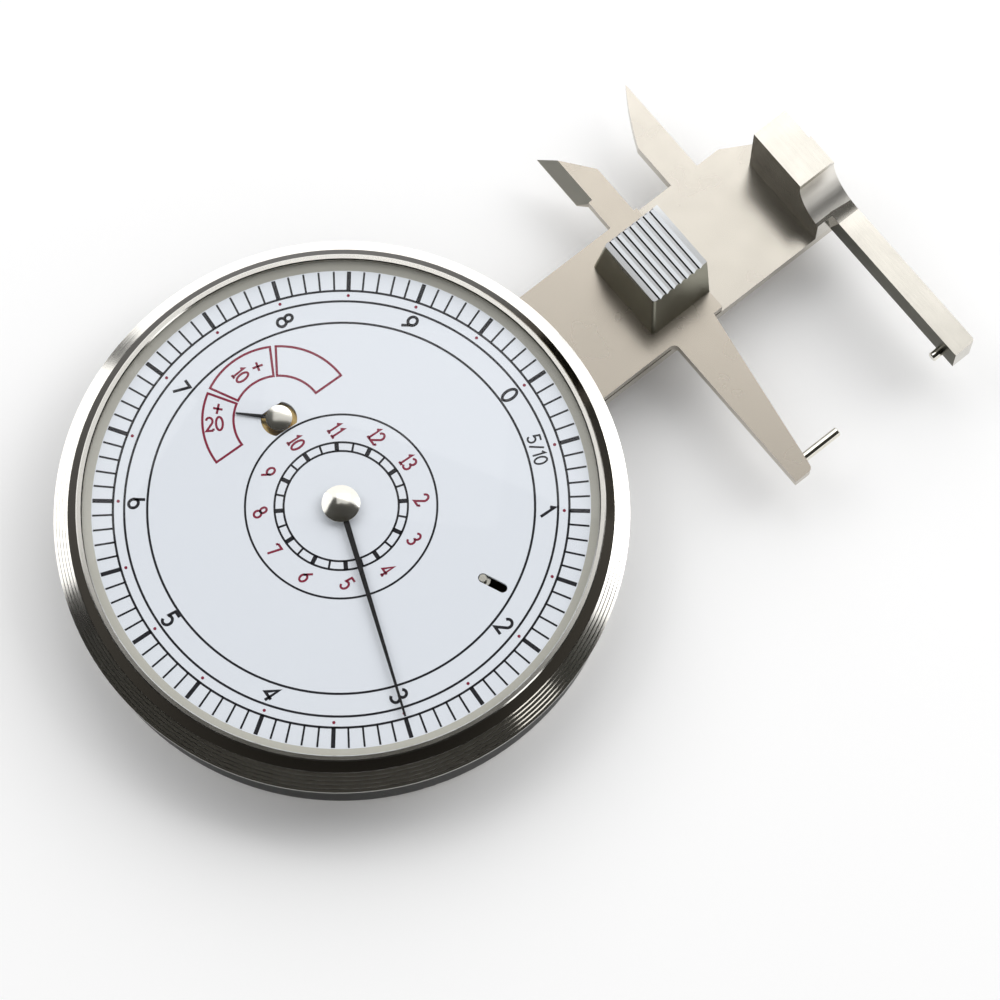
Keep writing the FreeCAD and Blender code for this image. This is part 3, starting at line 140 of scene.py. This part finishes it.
class Print:
    """Flat faces of one colour, gathered into one mesh just above the dial."""

    def __init__(self, name, material, level):
        self.name, self.material, self.level = name, material, level
        self.points, self.faces = [], []

    def add(self, points, faces):
        start = len(self.points)
        self.points += [tuple(p) for p in points]
        self.faces += [tuple(start + i for i in face) for face in faces]

    def quad_strip(self, left, right, closed=False):
        count = len(left)
        faces = []
        for i in range(count if closed else count - 1):
            j = (i + 1) % count
            faces.append((i, count + i, count + j, j))
        self.add(list(left) + list(right), faces)

    def ring(self, radius, width, sides=180):
        """Circular line round the dial's centre."""
        inner, outer = radius - width / 2, radius + width / 2
        angles = [360.0 * i / sides for i in range(sides)]
        self.quad_strip([polar(outer, a) for a in angles], [polar(inner, a) for a in angles], True)

    def tick(self, inner, outer, angle, width):
        """Straight line that points away from the dial's centre."""
        self.stroke([polar(inner, angle), polar(outer, angle)], width)

    def stroke(self, points, width, closed=False):
        """Line of even width with mitred corners."""
        count = len(points)
        left, right = [], []
        for i, point in enumerate(points):
            before = points[i - 1] if (i or closed) else None
            after = points[(i + 1) % count] if (i < count - 1 or closed) else None
            into = (point - before).normalized() if before is not None else None
            out = (after - point).normalized() if after is not None else None
            way = ((into or out) + (out or into)).normalized()
            side = Vector((-way.y, way.x))
            facing = Vector((-(out or into).y, (out or into).x))
            reach = width / 2 / max(0.4, side.dot(facing))
            left.append(point + side * reach)
            right.append(point - side * reach)
        self.quad_strip(right, left, closed)

    def dot(self, centre, radius, sides=16):
        ring = [centre + polar(radius, 360.0 * i / sides) for i in range(sides)]
        self.add(ring, [tuple(range(sides))])

    def build(self):
        turn = Matrix.Rotation(math.radians(DIAL_TURN), 4, "Z")
        places = [turn @ Vector((x * MM, y * MM, self.level)) for x, y in self.points]
        piece = mesh_piece(self.name, places, self.faces, self.material)
        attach(piece, "frame")


def mesh_piece(name, places, faces, material):
    mesh = bpy.data.meshes.new(name)
    mesh.from_pydata(places, [], faces)
    mesh.materials.append(material)
    mesh.update()
    piece = bpy.data.objects.new(name, mesh)
    bpy.context.scene.collection.objects.link(piece)
    return piece


# Numerals as strokes in a box one unit high

def bow(cx, cy, rx, ry, start, end, steps=14):
    spots = []
    for i in range(steps + 1):
        angle = math.radians(start + (end - start) * i / steps)
        spots.append((cx + rx * math.cos(angle), cy + ry * math.sin(angle)))
    return spots


NUMERALS = {
    "0": [bow(0.31, 0.5, 0.27, 0.5, 90, 450, 24)],
    "1": [[(0.14, 0.80), (0.32, 1.0), (0.32, 0.0)]],
    "2": [bow(0.31, 0.72, 0.26, 0.28, 165, -38) + [(0.05, 0.0), (0.60, 0.0)]],
    "3": [bow(0.29, 0.76, 0.24, 0.24, 150, -80) + bow(0.28, 0.26, 0.28, 0.26, 80, -150)],
    "4": [[(0.44, 0.0), (0.44, 1.0), (0.03, 0.30), (0.62, 0.30)]],
    "5": [[(0.56, 1.0), (0.14, 1.0), (0.09, 0.55)] + bow(0.30, 0.31, 0.27, 0.31, 128, -150)],
    "6": [[(0.50, 1.0), (0.14, 0.50)] + bow(0.31, 0.30, 0.26, 0.30, 150, 510, 24)],
    "7": [[(0.05, 1.0), (0.58, 1.0), (0.24, 0.0)]],
    "8": [bow(0.31, 0.76, 0.21, 0.24, -90, 270, 20), bow(0.31, 0.27, 0.27, 0.27, 90, 450, 22)],
    "9": [[(0.12, 0.0), (0.48, 0.50)] + bow(0.31, 0.70, 0.26, 0.30, -30, 330, 24)],
    "+": [[(0.05, 0.45), (0.60, 0.45)], [(0.325, 0.17), (0.325, 0.73)]],
    "/": [[(0.02, -0.05), (0.40, 1.05)]],
}
ADVANCE = {"1": 0.52, "/": 0.50, "+": 0.75}
USUAL_ADVANCE = 0.80
LEFT_MARGIN = 0.09
FEET = {
    "1": [[(0.14, 0.0), (0.50, 0.0)]],
    "2": [[(0.60, 0.0), (0.62, 0.16)]],
    "4": [[(0.30, 0.0), (0.58, 0.0)]],
    "7": [[(0.05, 1.0), (0.03, 0.84)]],
}


def write(page, text, centre, height, stroke, up, feet=False, narrow=1.0):
    """Text centred on a dial point, its upright direction at an angle on the dial."""
    widths = [ADVANCE.get(letter, USUAL_ADVANCE) * narrow for letter in text]
    along, rise = polar(1, up - 90), polar(1, up)
    pen = -sum(widths) / 2 + LEFT_MARGIN * narrow
    for letter, width in zip(text, widths):
        for line in NUMERALS[letter] + (FEET.get(letter, []) if feet else []):
            spots = []
            for x, y in line:
                spots.append(centre + along * ((pen + x * narrow) * height) + rise * ((y - 0.5) * height))
            closed = (spots[0] - spots[-1]).length < 1e-6
            page.stroke(spots[:-1] if closed else spots, stroke, closed)
        pen += width


# Materials

def principled(name, color, metallic=0.0, roughness=0.5, **more):
    material = bpy.data.materials.new(name)
    material.use_nodes = True
    shader = material.node_tree.nodes["Principled BSDF"]
    shader.inputs["Base Color"].default_value = (*color, 1)
    shader.inputs["Metallic"].default_value = metallic
    shader.inputs["Roughness"].default_value = roughness
    for socket, value in more.items():
        shader.inputs[socket.replace("_", " ")].default_value = value
    return material


def ground(name, color, roughness, grain, spread=0.25, depth=0.004, edge=1.0):
    """Ground or polished metal: fine scratches that run one way, and a cloudy change of shine.

    Depth is the scratches' in millimetres, and edge how bright the metal stays where it is seen flat.
    """
    material = principled(name, color, 1.0, roughness, Specular_Tint=(edge, edge, edge, 1))
    nodes, links = material.node_tree.nodes, material.node_tree.links
    shader = nodes["Principled BSDF"]
    place = nodes.new("ShaderNodeTexCoord")
    stretch = nodes.new("ShaderNodeMapping")
    stretch.inputs["Scale"].default_value = grain
    scratches = nodes.new("ShaderNodeTexNoise")
    scratches.inputs["Scale"].default_value = 1.0
    scratches.inputs["Detail"].default_value = 3.0
    clouds = nodes.new("ShaderNodeTexNoise")
    clouds.inputs["Scale"].default_value = 260.0
    clouds.inputs["Detail"].default_value = 2.0
    shine = nodes.new("ShaderNodeMapRange")
    shine.inputs["To Min"].default_value = roughness * (1 - spread)
    shine.inputs["To Max"].default_value = roughness * (1 + spread)
    relief = nodes.new("ShaderNodeBump")
    relief.inputs["Strength"].default_value = 0.5
    relief.inputs["Distance"].default_value = depth * MM
    links.new(place.outputs["Object"], stretch.inputs["Vector"])
    links.new(stretch.outputs["Vector"], scratches.inputs["Vector"])
    links.new(place.outputs["Object"], clouds.inputs["Vector"])
    links.new(clouds.outputs[0], shine.inputs["Value"])
    links.new(shine.outputs[0], shader.inputs["Roughness"])
    links.new(scratches.outputs[0], relief.inputs["Height"])
    links.new(relief.outputs[0], shader.inputs["Normal"])
    return material


case_nickel = ground("case_nickel", (0.86, 0.84, 0.79), 0.12, (300, 300, 300), depth=0.001)
# Case side wall: the case's nickel with its colour made dark, painted shade for the shaded floor it reflects
wall_nickel_painted_shade = ground("wall_nickel_painted_shade", (0.11, 0.11, 0.108), 0.30, (300, 300, 3000), depth=0.002, edge=0.55)
bevel_dark = principled("bevel_dark", (0.045, 0.040, 0.032), 1.0, 0.22)
fixed_steel = ground("fixed_steel", (0.60, 0.575, 0.52), 0.22, (2600, 120, 600), 0.4, 0.005)
jaw_steel = ground("jaw_steel", (0.50, 0.455, 0.39), 0.26, (2200, 140, 600), 0.2, 0.0015)
# The slide's jaw steel made lighter for the beam: painted light
beam_steel_painted_light = ground("beam_steel_painted_light", (0.57, 0.535, 0.475), 0.26, (2200, 140, 600), 0.2, 0.0015)
# Lighter, rougher copy of the jaw steel for the prong's sloping faces: painted sheen
prong_bevel_painted_sheen = ground("prong_bevel_painted_sheen", (0.80, 0.78, 0.70), 0.55, (900, 900, 900), 0.2, 0.006)
block_steel = ground("block_steel", (0.66, 0.635, 0.57), 0.20, (500, 500, 3000), 0.3, 0.004)
# Lighter copy of the fixed jaw's steel for the neck's hollow: painted sheen
neck_painted_sheen = ground("neck_painted_sheen", (0.95, 0.92, 0.86), 0.40, (2600, 300, 300), 0.2, 0.006)
# Darker copy of the fixed jaw's steel for the arm's side: painted shade
arm_side_painted_shade = ground("arm_side_painted_shade", (0.16, 0.155, 0.13), 0.35, (600, 600, 3000), 0.3, 0.004, 0.6)
# Darker copy of the thumb block's steel for its upright sides: painted shade
block_side_painted_shade = ground("block_side_painted_shade", (0.45, 0.44, 0.36), 0.42, (600, 600, 3000), 0.3, 0.006)
ridge_steel = principled("ridge_steel", (0.56, 0.57, 0.58), 1.0, 0.06)
dial_paint = principled("dial_paint", (0.89, 0.935, 1.0), 0.0, 0.45)
hand_black = principled("hand_black", (0.004, 0.004, 0.006), 0.0, 0.40)
print_black = principled("print_black", (0.003, 0.003, 0.010), 0.0, 0.5)
print_red = principled("print_red", (0.27, 0.006, 0.040), 0.0, 0.5)

LOOKS = {
    "case_nickel": case_nickel,
    "jaw_steel": jaw_steel,
    "pin_steel": principled("pin_steel", (0.80, 0.78, 0.70), 1.0, 0.10),
    "screw_steel": principled("screw_steel", (0.62, 0.62, 0.62), 1.0, 0.25),
    "movement_brass": principled("movement_brass", (0.72, 0.52, 0.22), 1.0, 0.30),
    "bush_bronze": principled("bush_bronze", (0.60, 0.38, 0.20), 1.0, 0.30),
    "arbor_steel": principled("arbor_steel", (0.60, 0.60, 0.62), 1.0, 0.20),
    "spring_steel": principled("spring_steel", (0.10, 0.14, 0.30), 1.0, 0.25),
    "dial_paint": dial_paint,
    "ring_cream": principled("ring_cream", (0.50, 0.49, 0.43), 0.0, 0.40),
    "crystal_clear": principled("crystal_clear", (0.0, 0.0, 0.0), 0.0, 0.02, Alpha=0.06, IOR=2.4),
    "hand_black": hand_black,
    "hub_nickel": principled("hub_nickel", (0.84, 0.82, 0.75), 1.0, 0.12),
}


def paint(node, material):
    """Give a node one material in place of those it has."""
    node.data.materials.clear()
    node.data.materials.append(material)


def paint_faces(node, material, chosen):
    """Give one more material to the faces of a node that a test picks."""
    mesh = node.data
    mesh.materials.append(material)
    turn = node.matrix_world.to_3x3()
    for face in mesh.polygons:
        if chosen(node.matrix_world @ face.center, (turn @ face.normal).normalized()):
            face.material_index = len(mesh.materials) - 1


def on_bevel(place, normal):
    """Faces of the sloping ring just outside the bright lip."""
    radius = math.hypot(place.x, place.y) / MM
    return BEVEL_INNER < radius < BEVEL_OUTER and 0.2 < normal.z < 0.9


def on_prong_bevel(place, normal):
    """Sloping faces of the slide's knife prong, which get a lighter copy of the jaw steel as painted sheen."""
    return normal.x < -0.3 and 0.3 < normal.z < 0.95 and place.y > 0


def on_neck(place, normal):
    """Hollow neck between the fixed block and its arm, which gets a lighter copy of its steel as painted sheen."""
    return 0.1 < normal.z < 0.95 and place.y < 0


def on_arm_side(place, normal):
    """Side of the fixed arm that faces the slide, which gets a darker copy of its steel as painted shade."""
    return normal.x < -0.9 and place.y < FIXED_ARM_START * MM


# Upright sides of the thumb block, which take its steel darkened as painted shade
def on_upright(place, normal):
    return abs(normal.z) < 0.4


# Upright faces of the case, which take the nickel darkened as painted shade
def on_wall(place, normal):
    return abs(normal.z) < 0.2


def on_ribs(place, normal):
    """Ribs on top of the thumb block."""
    return place.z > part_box("thumb_block")[1].z - RIB_DEPTH * MM and abs(normal.y) < 0.5


def dress(frame):
    nodes = frame["nodes"]
    for entry in frame["record"]["subparts"]:
        paint(nodes[entry["node"]], LOOKS[entry["material_slot"]])
    paint(nodes["thumb_block"], block_steel)
    paint(nodes["fixed_jaw"], fixed_steel)
    paint(nodes["beam"], beam_steel_painted_light)
    paint_faces(nodes["bezel"], bevel_dark, on_bevel)
    paint_faces(nodes["case_body"], wall_nickel_painted_shade, on_wall)
    paint_faces(nodes["slide_plate"], prong_bevel_painted_sheen, on_prong_bevel)
    paint_faces(nodes["thumb_block"], block_side_painted_shade, on_upright)
    paint_faces(nodes["thumb_block"], ridge_steel, on_ribs)
    paint_faces(nodes["fixed_jaw"], neck_painted_sheen, on_neck)
    paint_faces(nodes["fixed_jaw"], arm_side_painted_shade, on_arm_side)


# Dial print

def print_main_scale(black, red):
    for radius in RING_LINES:
        black.ring(radius, RING_LINE_WIDTH)
    for mark in range(100):
        width = LONG_TICK_WIDTH if mark % 5 == 0 else TICK_WIDTH
        black.tick(TICK_INNER, TICK_OUTER, dial_direction(mark / 10), width)
    for mark in range(20):
        red.dot(polar(DOT_CIRCLE, dial_direction(mark / 2)), DOT_RADIUS)
    for number in range(10):
        place = polar(NUMBER_CIRCLE, dial_direction(number))
        write(black, str(number), place, NUMBER_HEIGHT, NUMBER_STROKE, 0)
    half = dial_direction(0.5)
    write(black, "5/10", polar(NUMBER_CIRCLE, half), FRACTION_HEIGHT, FRACTION_STROKE, half)


def size_direction(size):
    """Angle of a size on the small scale, where 7 stands across from the 0 mark."""
    return dial_direction(5.0 + (size - 7) * SIZE_STEP)


def print_small_scale(black, red):
    for radius in (SIZE_LINE, SIZE_BAND_INNER, SIZE_BAND_OUTER):
        black.ring(radius, SIZE_LINE_WIDTH)
    for size in range(2, 14):
        angle = size_direction(size)
        black.tick(SIZE_BAND_INNER, SIZE_BAND_OUTER, angle, SIZE_TICK_WIDTH)
        write(red, str(size), polar(SIZE_NUMBER_CIRCLE, angle), SIZE_NUMBER_HEIGHT, SIZE_NUMBER_STROKE, 0,
              feet=True, narrow=0.85)
        black.tick(SIZE_BAND_INNER, SIZE_BAND_OUTER, size_direction(size + 0.5), SIZE_HALF_TICK_WIDTH)


def print_sectors(red, centre):
    for start, end in SECTOR_ANGLES:
        turns = [(end - start) * i / SECTOR_STEPS for i in range(SECTOR_STEPS + 1)]
        outline = [centre + polar(SECTOR_OUTER, start + turn) for turn in turns]
        outline += [centre + polar(SECTOR_INNER, end - turn) for turn in turns]
        red.stroke(outline, SECTOR_LINE_WIDTH, closed=True)
    for mark, circle, angle in SECTOR_MARKS:
        height = SECTOR_PLUS_HEIGHT if mark == "+" else SECTOR_NUMBER_HEIGHT
        write(red, mark, centre + polar(circle, angle), height, SIZE_NUMBER_STROKE, angle - 90,
              feet=True, narrow=0.9)


def print_dial(frame):
    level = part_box("dial_plate")[1].z + PRINT_LIFT * MM
    black = Print("dial_print_black", print_black, level)
    red = Print("dial_print_red", print_red, level)
    print_main_scale(black, red)
    print_small_scale(black, red)
    print_sectors(red, counter_centre(frame))
    black.build()
    red.build()


def narrow_hole(frame):
    """Dial paper that leaves only a slot of the round hole round the counter arbor."""
    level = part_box("dial_plate")[1].z + 0.3 * PRINT_LIFT * MM
    page = Print("dial_slot_edges", dial_paint, level)
    centre = counter_centre(frame)
    half = math.degrees(math.asin(SLOT_HALF_WIDTH / HOLE_RADIUS))
    for turn in (0, 180):
        page.add([centre + polar(HOLE_RADIUS, turn + half + (180 - 2 * half) * i / 20) for i in range(21)],
                 [tuple(range(21))])
    page.build()


def fine_counter_hand(frame):
    """Thin counter hand in the place of the solid one: an eye round the arbor and a fine pointer."""
    low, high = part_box("counter_hand")
    turn = Matrix.Rotation(math.radians(HAND_DIRECTION + DIAL_TURN), 3, "Z")
    pivot = counter_pivot(frame)
    eye_end = math.degrees(math.asin(HAND_ROOT / 2 / HAND_EYE))
    sweep = 360 - 2 * eye_end
    outline = [polar(HAND_EYE, eye_end + sweep * i / HAND_EYE_STEPS) for i in range(HAND_EYE_STEPS + 1)]
    outline += [Vector((HAND_REACH, -HAND_TIP / 2)), Vector((HAND_REACH, HAND_TIP / 2))]
    count = len(outline)
    places = []
    for level in (low.z, high.z):
        for spot in outline:
            flat = turn @ Vector((spot.x, spot.y, 0)) * MM
            places.append((pivot.x + flat.x, pivot.y + flat.y, level))
    faces = [tuple(reversed(range(count))), tuple(range(count, 2 * count))]
    faces += [(i, (i + 1) % count, count + (i + 1) % count, count + i) for i in range(count)]
    piece = mesh_piece("fine_counter_hand", places, faces, hand_black)
    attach(piece, "counter_pointer")
    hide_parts("counter_hand")


# Camera, light and floor

def add_camera():
    data = bpy.data.cameras.new("camera")
    data.lens = CAMERA_LENS
    data.sensor_width = 36.0
    data.clip_start = 0.01
    camera = bpy.data.objects.new("camera", data)
    bpy.context.scene.collection.objects.link(camera)
    a, e = math.radians(CAMERA_AZIMUTH), math.radians(CAMERA_ELEVATION)
    back = Vector((math.sin(a) * math.cos(e), -math.cos(a) * math.cos(e), math.sin(e)))
    camera.location = Vector(CAMERA_TARGET) + back * CAMERA_DISTANCE
    camera.rotation_mode = "QUATERNION"
    camera.rotation_quaternion = back.to_track_quat("Z", "Y")
    bpy.context.scene.camera = camera


def picture_place(across, up, height):
    """Point around the target: across and up the picture along the floor, and height, in metres."""
    a = math.radians(CAMERA_AZIMUTH)
    right = Vector((math.cos(a), math.sin(a), 0))
    ahead = Vector((-math.sin(a), math.cos(a), 0))
    return Vector(CAMERA_TARGET) + right * across + ahead * up + Vector((0, 0, height))


def add_soft_box(name, place, size, power):
    """Rectangular lamp that faces the target."""
    data = bpy.data.lights.new(name, "AREA")
    data.shape = "RECTANGLE"
    data.size, data.size_y = size
    data.energy = power
    lamp = bpy.data.objects.new(name, data)
    bpy.context.scene.collection.objects.link(lamp)
    lamp.location = place
    lamp.rotation_mode = "QUATERNION"
    lamp.rotation_quaternion = (place - Vector(CAMERA_TARGET)).to_track_quat("Z", "Y")


def add_world():
    """White to the camera, glossy and transmission rays, and an even soft light for all others."""
    world = bpy.data.worlds.new("studio")
    world.use_nodes = True
    bpy.context.scene.world = world
    nodes, links = world.node_tree.nodes, world.node_tree.links
    nodes.clear()
    seen = nodes.new("ShaderNodeBackground")
    seen.inputs["Color"].default_value = (1, 1, 1, 1)
    soft = nodes.new("ShaderNodeBackground")
    soft.inputs["Strength"].default_value = AMBIENT
    rays = nodes.new("ShaderNodeLightPath")
    either = nodes.new("ShaderNodeMath")
    either.operation = "MAXIMUM"
    any_of = nodes.new("ShaderNodeMath")
    any_of.operation = "MAXIMUM"
    mix = nodes.new("ShaderNodeMixShader")
    out = nodes.new("ShaderNodeOutputWorld")
    links.new(rays.outputs["Is Camera Ray"], either.inputs[0])
    links.new(rays.outputs["Is Glossy Ray"], either.inputs[1])
    links.new(either.outputs[0], any_of.inputs[0])
    links.new(rays.outputs["Is Transmission Ray"], any_of.inputs[1])
    links.new(any_of.outputs[0], mix.inputs["Fac"])
    links.new(soft.outputs[0], mix.inputs[1])
    links.new(seen.outputs[0], mix.inputs[2])
    links.new(mix.outputs[0], out.inputs["Surface"])


def stage_piece(name, corners, faces, material):
    piece = mesh_piece(name, corners, faces, material)
    return piece


def add_floor():
    half = ROOM_RADIUS
    corners = [(-half, -half, 0), (half, -half, 0), (half, half, 0), (-half, half, 0)]
    white = principled("floor_white", (0.97, 0.97, 0.97), 0.0, 0.9)
    floor = stage_piece("floor", corners, [(0, 1, 2, 3)], white)
    floor.location.z = -0.02 * MM


def add_cards():
    """Dark cards round and over the object, which only its reflections show."""
    ring = [polar(ROOM_RADIUS, 360.0 * i / ROOM_SIDES) for i in range(ROOM_SIDES)]
    low = [(p.x, p.y, 0.0) for p in ring]
    high = [(p.x, p.y, ROOM_HEIGHT) for p in ring]
    walls = []
    for i in range(ROOM_SIDES):
        j = (i + 1) % ROOM_SIDES
        walls.append((i, j, ROOM_SIDES + j, ROOM_SIDES + i))
    black = principled("card_black", (0.015, 0.014, 0.012), 0.0, 0.9)
    wall = stage_piece("dark_wall", low + high, walls, black)
    brown = principled("card_brown", (0.065, 0.062, 0.052), 0.0, 0.9)
    roof = stage_piece("dark_roof", high, [tuple(range(ROOM_SIDES))], brown)
    for card in (wall, roof):
        card.visible_camera = False
        card.visible_diffuse = False
        card.visible_shadow = False


bpy.context.scene.view_settings.view_transform = "Standard"
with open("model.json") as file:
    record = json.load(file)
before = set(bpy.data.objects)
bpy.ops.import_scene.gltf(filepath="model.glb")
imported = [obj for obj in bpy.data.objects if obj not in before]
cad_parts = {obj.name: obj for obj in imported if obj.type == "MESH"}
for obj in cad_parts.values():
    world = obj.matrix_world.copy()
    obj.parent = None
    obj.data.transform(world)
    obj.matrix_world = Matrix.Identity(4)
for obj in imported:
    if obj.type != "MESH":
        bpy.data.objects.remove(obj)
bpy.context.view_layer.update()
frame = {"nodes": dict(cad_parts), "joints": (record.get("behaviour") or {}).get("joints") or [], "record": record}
dress(frame)
print_dial(frame)
add_floor()
add_world()
add_cards()
narrow_hole(frame)
fine_counter_hand(frame)
for name, (place, size, power) in SOFT_BOXES.items():
    add_soft_box(name, picture_place(*place), size, power)
add_camera()
